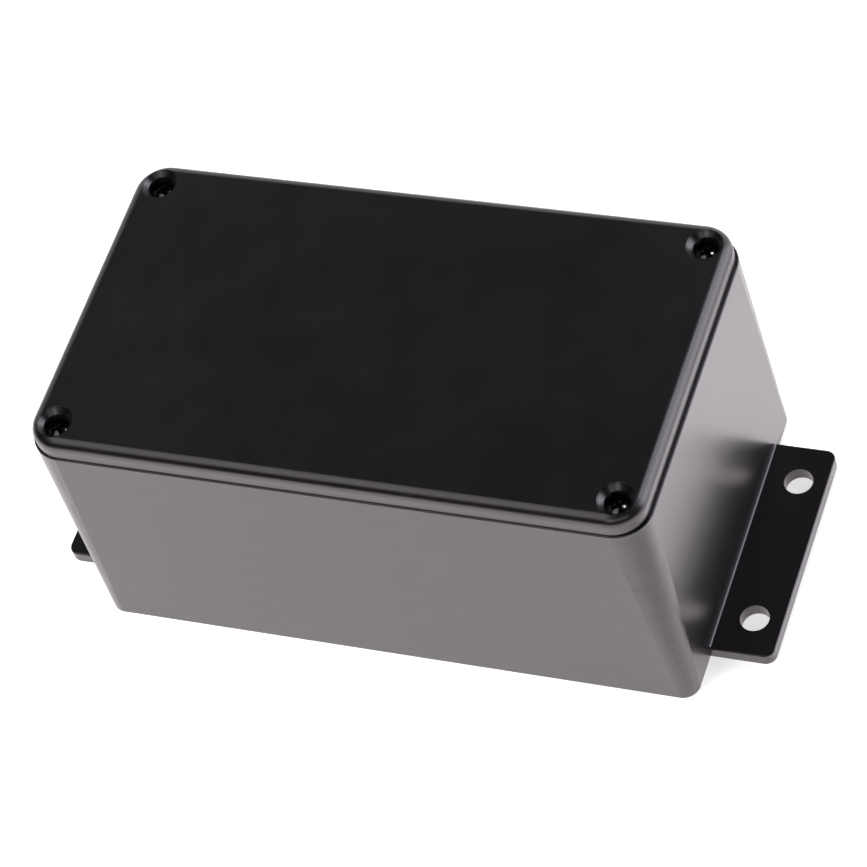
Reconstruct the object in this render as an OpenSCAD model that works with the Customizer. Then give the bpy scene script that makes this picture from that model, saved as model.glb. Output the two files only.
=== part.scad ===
// Die-cast aluminium enclosure with mounting flanges on both ends and a lid on four corner screws.
// Millimetres. X runs along the length, Z is up, and the origin is the centre of the underside.

/* [Base casting] */
// Length of the base over its rim
base_l = 115; // [90:1:160]
// Width of the base over its rim
base_w = 64; // [56:1:110]
// Height of the base from the underside to the rim
base_h = 50.2; // [30:0.1:80]
// Thickness of the side walls
wall = 2.2; // [1.8:0.1:3]
// Thickness of the floor
floor_t = 2.4; // [1.8:0.1:4]
// Radius of the upright corners at the rim
corner_r = 6.6; // [5.6:0.1:7]
// Radius of the upright corners at the underside
corner_foot_r = 3.1; // [2:0.1:5]
// Draft of the walls: how far each leans in from the rim to the underside
draft = 0.4; // [0.1:0.1:1]
// Radius round the bottom edge
foot_r = 0.5; // [0.2:0.1:1]
// Radius round the outer edge of the rim
rim_r = 0.3; // [0.1:0.1:0.6]
// Radius where the walls meet the floor inside
floor_fillet_r = 1.5; // [0.8:0.1:2]
// Radius of the screw bosses in the corners
boss_r = 4; // [3.6:0.1:5]

/* [Mounting flanges] */
// Reach of a flange past the rim
flange_reach = 11.3; // [10:0.1:18]
// Width of a flange
flange_w = 44.5; // [40:0.5:46]
// Thickness of a flange
flange_t = 2.6; // [2:0.1:5]
// Radius of the flange tips
tip_r = 2; // [1:0.1:5]
// Radius round the edges of a flange
flange_edge_r = 0.3; // [0.1:0.1:0.6]
// Fillet between a flange and the end wall
flange_fillet_r = 0.5; // [0.3:0.1:1.6]
// Diameter of the mounting holes
mount_hole_d = 5.3; // [3:0.1:6]
// Distance of the mounting holes past the rim
mount_hole_reach = 6; // [5:0.1:6.5]
// Distance between the two holes of one flange
mount_hole_pitch = 29.5; // [20:0.5:32]

/* [Lid casting] */
// Height of the lid above the rim
lid_h = 4; // [3.8:0.1:6]
// Step between the rim and the lid at the ends
end_ledge = 0.6; // [0.3:0.1:1]
// Step between the rim and the lid along the sides
side_ledge = 0.3; // [0.3:0.1:1]
// Thickness of the lid between its edges
lid_plate_t = 2.2; // [1.6:0.1:3]
// Radius round the top edge
lid_edge_r = 2; // [0.6:0.1:2.6]
// Radius round the bottom edge
lid_foot_r = 0.2; // [0.1:0.1:0.5]
// Depth of the locating lips inside the base
lip_depth = 2; // [1:0.1:4]
// Thickness of the locating lips
lip_t = 1.6; // [1:0.1:2.4]
// Clearance between the lips and the inside of the base
lip_clear = 0.3; // [0.2:0.05:0.6]
// Distance of the screws in from the sides of the lid
screw_inset = 4.9; // [4.6:0.05:5.4]

/* [Screws and their wells] */
// Diameter of a well at the top of its cone
well_mouth_d = 6.7; // [6:0.1:7.4]
// Radius round the mouth of a well
well_lip_r = 0.2; // [0.1:0.1:0.5]
// Depth of the cone
well_cone_depth = 1; // [0.7:0.1:1.8]
// Depth of the seat for the screw head
well_depth = 3.1; // [2.4:0.1:3.2]
// Diameter of the screw head
head_d = 4.3; // [4:0.1:4.6]
// Height of the screw head
head_h = 1.3; // [1:0.1:1.8]
// Radius of the dome on the screw head
head_dome_r = 4; // [3:0.1:8]
// Clearance between the screw head and its well
head_clear = 0.2; // [0.15:0.05:0.4]
// Diameter over the thread
thread_d = 2.9; // [2.2:0.1:3]
// Length of the screw under its head
screw_l = 12; // [8:0.5:20]
// Clearance of the screw in the lid
shank_clear = 0.3; // [0.2:0.05:0.5]
// Clearance of the thread in its boss
thread_clear = 0.05; // [0.02:0.01:0.1]
// Length of the chamfer at the screw's tip
screw_tip = 0.6; // [0.3:0.1:0.8]
// Width of the cross recess
cross_w = 0.6; // [0.4:0.1:0.8]
// Length of the cross recess
cross_l = 2.6; // [2:0.1:3]
// Depth of the cross recess
cross_depth = 0.8; // [0.5:0.1:1]

/* [Hidden] */
$fn = 96;
// Length of a cut past the face it opens
over = 1;
// Depth by which the arc of a fillet runs into leaning faces
edge_bite = 0.01;
// Depth by which the round foot and rim of an upright corner run into its cone
corner_bite = 3 * edge_bite;
// Grain of computed points
grain = 0.001;
coat = [0.08, 0.08, 0.085];
steel = [0.25, 0.25, 0.26];
lid_l = base_l - 2 * end_ledge;
lid_w = base_w - 2 * side_ledge;
lid_top = base_h + lid_h;
screw_x = lid_l / 2 - screw_inset;
screw_y = lid_w / 2 - screw_inset;
well_d = head_d + 2 * head_clear;
seat_z = lid_top - well_depth;
bore_depth = screw_l - (lid_h - well_depth) + over;
inner_l = base_l - 2 * wall;
inner_w = base_w - 2 * wall;
inner_r = corner_r - wall;

// Distance of the outside of an end wall from the middle, at height z
function end_wall_x(z) = base_l / 2 - draft * (1 - z / base_h);

// Value on the grain that all computed points share
function snap(v) = round(v / grain) * grain;

// What is cut away outside a round edge whose arc has its centre at c
// up is 1 for a top edge and -1 for a bottom edge
module edge_cut(c, r, up) {
    reach = r + over;
    translate(c)
        difference() {
            translate([0, up > 0 ? 0 : -reach]) square(reach);
            circle(r);
        }
}

// Half of a cast section: a wall that leans in by a step at its foot, with a round foot and a round crown
module half_section(half, h, lean, foot, crown) {
    bite = lean > 0 ? edge_bite : 0;
    difference() {
        polygon([[0, 0], [half - lean, 0], [half, h], [0, h]]);
        if (foot > 0) edge_cut([snap(half - lean * (1 - foot / h)) - foot + bite, foot - bite], foot, -1);
        if (crown > 0) edge_cut([snap(half - lean * crown / h) - crown + bite, h - crown + bite], crown, 1);
    }
}

// The whole section, on both sides of the middle
module section(half, h, lean, foot, crown) {
    half_section(half, h, lean, foot, crown);
    mirror([1, 0]) half_section(half, h, lean, foot, crown);
}

// Block with round upright corners whose section is the same all the way round
module cast_block(l, w, h, r, lean, foot, crown) {
    flat_x = l / 2 - r;
    flat_y = w / 2 - r;
    rotate([90, 0, 0])
        linear_extrude(2 * flat_y, center = true)
            section(l / 2, h, lean, foot, crown);
    for (turn = [0, 180])
        rotate(turn)
            translate([0, flat_y, 0])
                rotate([90, 0, 90])
                    linear_extrude(2 * flat_x, center = true)
                        half_section(r, h, lean, foot, crown);
    for (corner = [[1, 1, 0], [-1, 1, 90], [-1, -1, 180], [1, -1, 270]])
        translate([corner.x * flat_x, corner.y * flat_y, 0])
            rotate(corner.z)
                rotate_extrude(angle = 90)
                    half_section(r, h, lean, foot, crown);
}

// What is cut away outside the upright corner at +X +Y
// Its face is a leaning cone that touches both walls, with a round foot and a round rim
module corner_cut() {
    lean = corner_r - corner_foot_r - draft;
    span = sqrt(base_h * base_h + 2 * lean * lean);
    taper = asin((corner_r - corner_foot_r) / span);
    foot_x = snap(base_l / 2 - draft - corner_foot_r);
    foot_y = snap(base_w / 2 - draft - corner_foot_r);
    foot_arc = snap(corner_foot_r + draft * foot_r / base_h) - foot_r + corner_bite;
    rim_arc = snap(corner_r - draft * rim_r / base_h) - rim_r + corner_bite;
    cone_r = corner_foot_r / cos(taper) + edge_bite;
    translate([foot_x, foot_y, 0])
        rotate(a = -atan(sqrt(2) * lean / base_h), v = [-1, 1, 0])
            difference() {
                translate([0, 0, -over]) cube([corner_r + over, corner_r + over, span + 2 * over]);
                translate([0, 0, -2 * over])
                    cylinder(
                        h = span + 4 * over,
                        r1 = cone_r - 2 * over * tan(taper),
                        r2 = cone_r + (span + 2 * over) * tan(taper)
                    );
            }
    translate([foot_x, foot_y, 0])
        rotate_extrude(angle = 90)
            edge_cut([foot_arc, foot_r - edge_bite], foot_r, -1);
    translate([base_l / 2 - corner_r, base_w / 2 - corner_r, 0])
        rotate_extrude(angle = 90)
            edge_cut([rim_arc, base_h - rim_r + edge_bite], rim_r, 1);
}

// Block of the base before it is hollowed, with leaning walls and upright corners that widen upwards
module tub_block() {
    difference() {
        intersection() {
            rotate([90, 0, 0])
                linear_extrude(base_w + 2 * over, center = true)
                    section(base_l / 2, base_h, draft, foot_r, rim_r);
            rotate([90, 0, 90])
                linear_extrude(base_l + 2 * over, center = true)
                    section(base_w / 2, base_h, draft, foot_r, rim_r);
        }
        for (x = [0, 1], y = [0, 1])
            mirror([x, 0, 0])
                mirror([0, y, 0])
                    corner_cut();
    }
}

// Rectangle with round corners
module round_rect(l, w, r) {
    square([l, w - 2 * r], center = true);
    square([l - 2 * r, w], center = true);
    for (x = [-1, 1], y = [-1, 1])
        translate([x * (l / 2 - r), y * (w / 2 - r)])
            circle(r);
}

// Puts its children on the axis of each screw
module at_screws() {
    for (x = [-screw_x, screw_x], y = [-screw_y, screw_y])
        translate([x, y, 0])
            children();
}

// Hollow of the base, open at the top, with a boss left standing in each corner
module cavity() {
    difference() {
        translate([0, 0, floor_t])
            cast_block(inner_l, inner_w, base_h - floor_t + over, inner_r, draft, floor_fillet_r, 0);
        at_screws() cylinder(h = base_h + 2 * over, r = boss_r);
    }
}

// Fillet between the right-hand flange and its end wall
module flange_fillet() {
    root = base_l / 2 - wall;
    fillet_z = flange_t + flange_fillet_r - edge_bite;
    fillet_x = snap(end_wall_x(fillet_z)) + flange_fillet_r - edge_bite;
    rotate([90, 0, 0])
        linear_extrude(flange_w - 2 * flange_edge_r, center = true)
            difference() {
                translate([root, flange_t / 2]) square([fillet_x - root, fillet_z - flange_t / 2]);
                translate([fillet_x, fillet_z]) circle(flange_fillet_r);
            }
}

// Plate that runs under the base and stands out at both ends as the mounting flanges
module flanges() {
    cast_block(base_l + 2 * flange_reach, flange_w, flange_t, tip_r, 0, flange_edge_r, flange_edge_r);
    for (turn = [0, 180])
        rotate(turn)
            flange_fillet();
}

// Holes through the flanges
module mount_holes() {
    for (x = [-1, 1], y = [-1, 1])
        translate([x * (base_l / 2 + mount_hole_reach), y * mount_hole_pitch / 2, -over])
            cylinder(h = flange_t + 2 * over, d = mount_hole_d);
}

// Tub of the enclosure
module base() {
    color(coat)
        difference() {
            union() {
                tub_block();
                flanges();
            }
            cavity();
            mount_holes();
            at_screws()
                translate([0, 0, base_h - bore_depth])
                    cylinder(h = bore_depth + over, d = thread_d + 2 * thread_clear);
        }
}

// Well for a screw: round mouth, cone, straight wall down to the seat, and the hole for the shank
module screw_well() {
    mouth = well_mouth_d / 2;
    neck = well_d / 2;
    slope = atan((mouth - neck) / well_cone_depth);
    lip_x = snap(mouth + well_lip_r * (1 - sin(slope)) / cos(slope)) - edge_bite;
    rotate_extrude() {
        polygon([
            [0, -well_depth],
            [neck, -well_depth],
            [neck, -well_cone_depth],
            [mouth, 0],
            [mouth, over],
            [0, over]
        ]);
        difference() {
            translate([neck, -well_lip_r + edge_bite]) square([lip_x - neck, well_lip_r + over]);
            translate([lip_x, -well_lip_r + edge_bite]) circle(well_lip_r);
        }
    }
    translate([0, 0, -lid_h - lip_depth])
        cylinder(h = lid_h + lip_depth, d = thread_d + 2 * shank_clear);
}

// Lips that reach into the base between its bosses
module lips() {
    outer_l = inner_l - 2 * lip_clear;
    outer_w = inner_w - 2 * lip_clear;
    translate([0, 0, base_h - lip_depth])
        linear_extrude(lip_depth + lid_h / 2)
            difference() {
                round_rect(outer_l, outer_w, inner_r);
                square([outer_l - 2 * lip_t, outer_w - 2 * lip_t], center = true);
                at_screws() circle(boss_r + lip_clear);
            }
}

// Hollow under the lid, inside the lips and clear of the pads that meet the bosses
module lid_hollow() {
    hollow_l = inner_l - 2 * (lip_clear + lip_t);
    hollow_w = inner_w - 2 * (lip_clear + lip_t);
    translate([0, 0, base_h - over])
        linear_extrude(lid_h - lid_plate_t + over)
            difference() {
                square([hollow_l, hollow_w], center = true);
                at_screws() circle(boss_r + lip_clear);
            }
}

// Lid that sits on the rim
module lid() {
    color(coat)
        difference() {
            union() {
                translate([0, 0, base_h])
                    cast_block(lid_l, lid_w, lid_h, corner_r - end_ledge, 0, lid_foot_r, lid_edge_r);
                lips();
            }
            lid_hollow();
            at_screws() translate([0, 0, lid_top]) screw_well();
        }
}

// Pan-head screw with a cross recess, its head on the seat at z = 0
module screw() {
    color(steel)
        difference() {
            rotate_extrude() {
                intersection() {
                    square([head_d / 2, head_h]);
                    translate([0, head_h - head_dome_r]) circle(head_dome_r);
                }
                polygon([
                    [0, -screw_l],
                    [thread_d / 2 - screw_tip, -screw_l],
                    [thread_d / 2, screw_tip - screw_l],
                    [thread_d / 2, 0],
                    [0, 0]
                ]);
            }
            for (turn = [45, 135])
                rotate(turn)
                    translate([0, 0, head_h - cross_depth / 2 + over / 2])
                        cube([cross_l, cross_w, cross_depth + over], center = true);
        }
}

// Puts a screw in the corner given by the signs of x and y
module corner_screw(x, y) {
    translate([x * screw_x, y * screw_y, seat_z]) screw();
}

base();
lid();
corner_screw(-1, -1);  // screw_front_left
corner_screw(1, -1);  // screw_front_right
corner_screw(-1, 1);  // screw_rear_left
corner_screw(1, 1);  // screw_rear_right
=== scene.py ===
import math

import bpy
from mathutils import Matrix, Vector

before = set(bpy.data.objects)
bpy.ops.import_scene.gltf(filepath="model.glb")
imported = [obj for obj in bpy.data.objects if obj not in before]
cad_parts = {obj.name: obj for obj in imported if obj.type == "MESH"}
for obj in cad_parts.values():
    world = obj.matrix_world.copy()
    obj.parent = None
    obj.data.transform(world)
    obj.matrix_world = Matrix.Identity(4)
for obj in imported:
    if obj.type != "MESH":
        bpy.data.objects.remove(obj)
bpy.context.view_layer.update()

# Lengths are in metres, angles in degrees and colours in linear light.
PLAIN = (1.0, 1.0, 1.0)
DAYLIGHT = (0.88, 0.93, 1.0)
NOISE_LOW, NOISE_HIGH = 0.3, 0.7  # most of a noise texture's values lie between these

COAT_IOR = 1.77
COAT_SPECULAR = 0.5  # the shader's plain specular level
COAT_SPECULAR_TINT = (1.0, 0.92, 0.975)
STREAK_SCALE = (150.0, 150.0, 2500.0)  # stretched along the walls

FLOOR_HALF = 3.0
FLOOR_DROP = 0.0002  # keeps the floor's face clear of the box's underside
FLOOR_ALBEDO = 0.88
FLOOR_MIRRORED_TINT = (1.0, 0.93, 0.975)
# Painted shade: the floor's glow seen in reflections is darkened round this spot in front of the
# right flange.
PAINTED_SHADE_AT = (0.088, -0.045, 0.0)  # place in front of the right flange that reflects darker

UP = (0.0, 0.0, 1.0)
BACKWARD = (0.0, 1.0, 0.0)
LID_MIDDLE = (0.0, 0.0, 0.05)
LID_RIGHT_EDGE = (0.057, 0.0, 0.054)

# The camera at the photo's angle: the rows are the image's right, down and forward axes.
CAMERA_AT = (0.260601, -0.359102, 0.578962)
CAMERA_AXES = Matrix((
    (0.923549, 0.306644, -0.230275),
    (0.122994, -0.805624, -0.579519),
    (-0.363221, 0.506891, -0.781749)))
SENSOR_MM, LENS_MM = 36.0, 165.156
CLIP_START, CLIP_END = 0.01, 20.0


class Graph:
    """Short calls to build the node tree of a material or world."""

    def __init__(self, owner):
        owner.use_nodes = True
        self.tree = owner.node_tree
        self.tree.nodes.clear()

    def node(self, kind, values=None, **settings):
        """Add a node with its settings, and put a value in each named or numbered input."""
        n = self.tree.nodes.new(kind)
        for key, value in settings.items():
            setattr(n, key, value)
        for key, value in (values or {}).items():
            self.put(n.inputs[key], value)
        return n

    def put(self, socket, value):
        """Link the input if the value is another node's output, and set it otherwise."""
        if isinstance(value, bpy.types.NodeSocket):
            self.tree.links.new(value, socket)
        else:
            socket.default_value = value

    def noise(self, coords, scale, detail):
        n = self.node("ShaderNodeTexNoise", {"Vector": coords, "Scale": scale, "Detail": detail})
        return n.outputs["Fac"]

    def spread(self, value, low, high, out_low, out_high):
        """Map one range onto another, held at its ends."""
        n = self.node("ShaderNodeMapRange", {0: value, 1: low, 2: high, 3: out_low, 4: out_high})
        return n.outputs[0]

    def vary(self, noise, out_low, out_high):
        """Map the usual range of a noise texture onto another."""
        return self.spread(noise, NOISE_LOW, NOISE_HIGH, out_low, out_high)

    def blend(self, factor, a, b):
        """Mix two colours."""
        return self.node("ShaderNodeMix", {0: factor, 6: a, 7: b}, data_type="RGBA").outputs[2]

    def math(self, operation, *operands):
        return self.node("ShaderNodeMath", dict(enumerate(operands)), operation=operation).outputs[0]

    def show(self, kind, shader):
        """Join a shader to the output of a material or world."""
        self.node(kind, {"Surface": shader.outputs[0]})


def grey(level, tint=PLAIN):
    return tuple(level * t for t in tint) + (1.0,)


def coat_material():
    """Satin black coat: faint blotches, streaks along the walls, a fine grain, a low orange peel."""
    mat = bpy.data.materials.new("casting_coat")
    g = Graph(mat)
    place = g.node("ShaderNodeTexCoord").outputs
    coords = place["Object"]
    blotch = g.noise(coords, scale=45.0, detail=4.0)
    grain = g.noise(coords, scale=2600.0, detail=2.0)
    peel = g.noise(coords, scale=420.0, detail=2.0)
    drawn = g.node("ShaderNodeMapping", {"Vector": coords, "Scale": STREAK_SCALE}).outputs[0]
    streak = g.noise(drawn, scale=1.0, detail=3.0)

    dark = grey(0.0024, tint=(1.0, 0.9, 1.05))
    pale = grey(0.0033, tint=(1.03, 0.9, 1.03))
    colour = g.blend(g.vary(blotch, 0.0, 1.0), dark, pale)
    rough = g.math("ADD", g.vary(blotch, 0.295, 0.315), g.vary(streak, -0.015, 0.015))
    # The streaks in the gloss fade out on level faces.
    normal = g.node("ShaderNodeSeparateXYZ", {0: place["Normal"]}).outputs
    upright = g.math("SUBTRACT", 1.0, g.math("ABSOLUTE", normal["Z"]))
    streaks = g.math("MULTIPLY", g.vary(streak, -0.045, 0.045), upright)
    gloss = g.math("ADD", COAT_SPECULAR, streaks)
    low = g.node("ShaderNodeBump", {"Strength": 0.05, "Distance": 0.00002, "Height": peel})
    fine = g.node("ShaderNodeBump", {
        "Strength": 0.1, "Distance": 0.000006, "Height": grain, "Normal": low.outputs[0]})
    shader = g.node("ShaderNodeBsdfPrincipled", {
        "Base Color": colour, "Roughness": rough, "IOR": COAT_IOR, "Specular IOR Level": gloss,
        "Specular Tint": grey(1.0, COAT_SPECULAR_TINT), "Normal": fine.outputs[0]})
    g.show("ShaderNodeOutputMaterial", shader)
    return mat


def steel_material():
    """Steel with a glossy black oxide."""
    mat = bpy.data.materials.new("screw_steel")
    g = Graph(mat)
    coords = g.node("ShaderNodeTexCoord").outputs["Object"]
    blotch = g.noise(coords, scale=700.0, detail=3.0)
    grain = g.noise(coords, scale=9000.0, detail=2.0)

    dark = grey(0.05, tint=(1.0, 0.99, 1.0))
    pale = grey(0.075, tint=(1.0, 0.98, 0.97))
    colour = g.blend(g.vary(blotch, 0.0, 1.0), dark, pale)
    rough = g.math("ADD", g.vary(blotch, 0.12, 0.17), g.vary(grain, -0.02, 0.02))
    bump = g.node("ShaderNodeBump", {"Strength": 0.1, "Distance": 0.000004, "Height": grain})
    shader = g.node("ShaderNodeBsdfPrincipled", {
        "Base Color": colour, "Roughness": rough, "Metallic": 1.0, "Normal": bump.outputs[0]})
    g.show("ShaderNodeOutputMaterial", shader)
    return mat


def floor_material():
    """Pale floor that keeps the shadow, white to the camera and, near the box, in reflections, with
    painted shade in its reflected glow in front of the right flange.
    """
    mat = bpy.data.materials.new("floor")
    g = Graph(mat)
    path = g.node("ShaderNodeLightPath").outputs
    coords = g.node("ShaderNodeTexCoord").outputs["Object"]
    away = g.node("ShaderNodeVectorMath", {0: coords}, operation="LENGTH").outputs["Value"]
    painted_shade_spot = g.node("ShaderNodeVectorMath", {0: coords, 1: PAINTED_SHADE_AT}, operation="DISTANCE")

    near = g.spread(away, low=0.2, high=0.8, out_low=1.0, out_high=0.2)
    # Painted shade: the glow that the walls reflect drops to 0.18 round the spot in front of the
    # right flange.
    clear = g.spread(painted_shade_spot.outputs["Value"], low=0.012, high=0.035, out_low=0.18, out_high=1.0)
    reflected = g.math("MAXIMUM", path["Is Glossy Ray"], path["Is Transmission Ray"])
    mirrored = g.math("MULTIPLY", reflected, g.math("MULTIPLY", near, clear))
    # Near the box the lamps add to the glow, and further off the glow alone is white.
    glow = g.spread(away, low=0.2, high=0.6, out_low=0.66, out_high=1.0)
    seen = g.math("MULTIPLY", path["Is Camera Ray"], glow)
    hue = g.blend(path["Is Camera Ray"], grey(1.0, FLOOR_MIRRORED_TINT), grey(1.0))

    diffuse = g.node("ShaderNodeBsdfDiffuse", {"Color": grey(FLOOR_ALBEDO)})
    white = g.node("ShaderNodeEmission", {
        "Color": hue, "Strength": g.math("MAXIMUM", seen, mirrored)})
    both = g.node("ShaderNodeAddShader", {0: diffuse.outputs[0], 1: white.outputs[0]})
    g.show("ShaderNodeOutputMaterial", both)
    return mat


def sky():
    """Dark room with a paler wall low down at the back, white to the camera."""
    world = bpy.data.worlds.new("studio")
    bpy.context.scene.world = world
    g = Graph(world)
    path = g.node("ShaderNodeLightPath").outputs
    direction = g.node("ShaderNodeTexCoord").outputs["Generated"]
    axes = g.node("ShaderNodeSeparateXYZ", {0: direction}).outputs
    back = g.spread(axes["Y"], low=0.0, high=0.6, out_low=0.0, out_high=1.0)
    wall = g.spread(axes["Z"], low=0.68, high=0.45, out_low=0.0, out_high=0.95)
    room = g.math("ADD", g.math("MULTIPLY", wall, back), 0.01)
    seen = g.math("MAXIMUM", path["Is Camera Ray"], path["Is Transmission Ray"])
    light = g.node("ShaderNodeBackground", {
        "Color": grey(1.0), "Strength": g.math("MAXIMUM", seen, room)})
    g.show("ShaderNodeOutputWorld", light)


def lamp(name, at, towards, size, radiance, tint=PLAIN, mirrored=True, along=UP, spread=180.0):
    """Soft box of a width and height, the height laid along a direction, with its beam's spread."""
    width, height = size
    data = bpy.data.lights.new(name, "AREA")
    data.shape, data.size, data.size_y = "RECTANGLE", width, height
    data.energy = radiance * math.pi * width * height
    data.color = tint
    data.spread = math.radians(spread)
    obj = bpy.data.objects.new(name, data)
    bpy.context.scene.collection.objects.link(obj)
    back = (Vector(at) - Vector(towards)).normalized()
    across = Vector(along).cross(back).normalized()
    turn = Matrix((across, back.cross(across), back)).transposed()
    obj.matrix_world = Matrix.Translation(at) @ turn.to_4x4()
    obj.visible_glossy = mirrored
    return obj


def only_on(lit, start):
    """Keep a lamp to the nodes whose names start with the given word."""
    group = bpy.data.collections.new(lit.name + "_on")
    for name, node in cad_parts.items():
        if name.startswith(start):
            group.objects.link(node)
    lit.light_linking.receiver_collection = group


coat = coat_material()
steel = steel_material()
for name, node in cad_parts.items():
    node.data.materials.clear()
    node.data.materials.append(steel if name.startswith("screw") else coat)

corners = [
    (x * FLOOR_HALF, y * FLOOR_HALF, -FLOOR_DROP) for x, y in ((-1, -1), (1, -1), (1, 1), (-1, 1))]
plane = bpy.data.meshes.new("floor")
plane.from_pydata(corners, [], [(0, 1, 2, 3)])
floor = bpy.data.objects.new("floor", plane)
bpy.context.scene.collection.objects.link(floor)
plane.materials.append(floor_material())

sky()

# The soft boxes that the edges and the screw wells mirror.
lamp("window", at=(0.52, 0.36, 0.315), towards=(0.0, 0.0, 0.315), size=(0.5, 0.63), radiance=2.4,
     tint=DAYLIGHT)
lamp("box", at=(-0.285, -0.235, 0.75), towards=LID_MIDDLE, size=(0.36, 0.76), radiance=1.6,
     along=BACKWARD)
lamp("front", at=(0.05, -0.62, 0.55), towards=LID_MIDDLE, size=(0.3, 0.2), radiance=2.2)
lamp("panel", at=(0.38, -0.44, 0.5), towards=LID_MIDDLE, size=(0.3, 0.3), radiance=0.9)

# Two lamps that light the floor and aren't mirrored.
lamp("fill", at=(-0.25, -0.35, 0.4), towards=(0.0, -0.05, 0.0), size=(0.3, 0.3), radiance=8.0,
     mirrored=False)
lamp("side", at=(0.02, 0.3, 0.2), towards=(0.08, 0.014, 0.0), size=(0.06, 0.06), radiance=3.3,
     mirrored=False, spread=24.0)

# A small bright lamp for the glints on the screws, and one that widens the highlight on the lid's
# right edge.
spark = lamp("spark", at=(0.165, 0.355, 0.72), towards=LID_MIDDLE, size=(0.09, 0.09), radiance=30.0)
only_on(spark, "screw")
edge = lamp("edge", at=(0.31, 0.415, 0.625), towards=LID_RIGHT_EDGE, size=(0.2, 0.24), radiance=4.3,
            tint=DAYLIGHT)
only_on(edge, "lid")

# Blender's camera looks along its -Z, with +Y up.
camera_data = bpy.data.cameras.new("camera")
camera_data.sensor_width, camera_data.lens = SENSOR_MM, LENS_MM
camera_data.clip_start, camera_data.clip_end = CLIP_START, CLIP_END
camera = bpy.data.objects.new("camera", camera_data)
bpy.context.scene.collection.objects.link(camera)
camera_turn = CAMERA_AXES.transposed() @ Matrix.Diagonal((1.0, -1.0, -1.0))
camera.matrix_world = Matrix.Translation(CAMERA_AT) @ camera_turn.to_4x4()
bpy.context.scene.camera = camera
bpy.context.scene.view_settings.view_transform = "Standard"
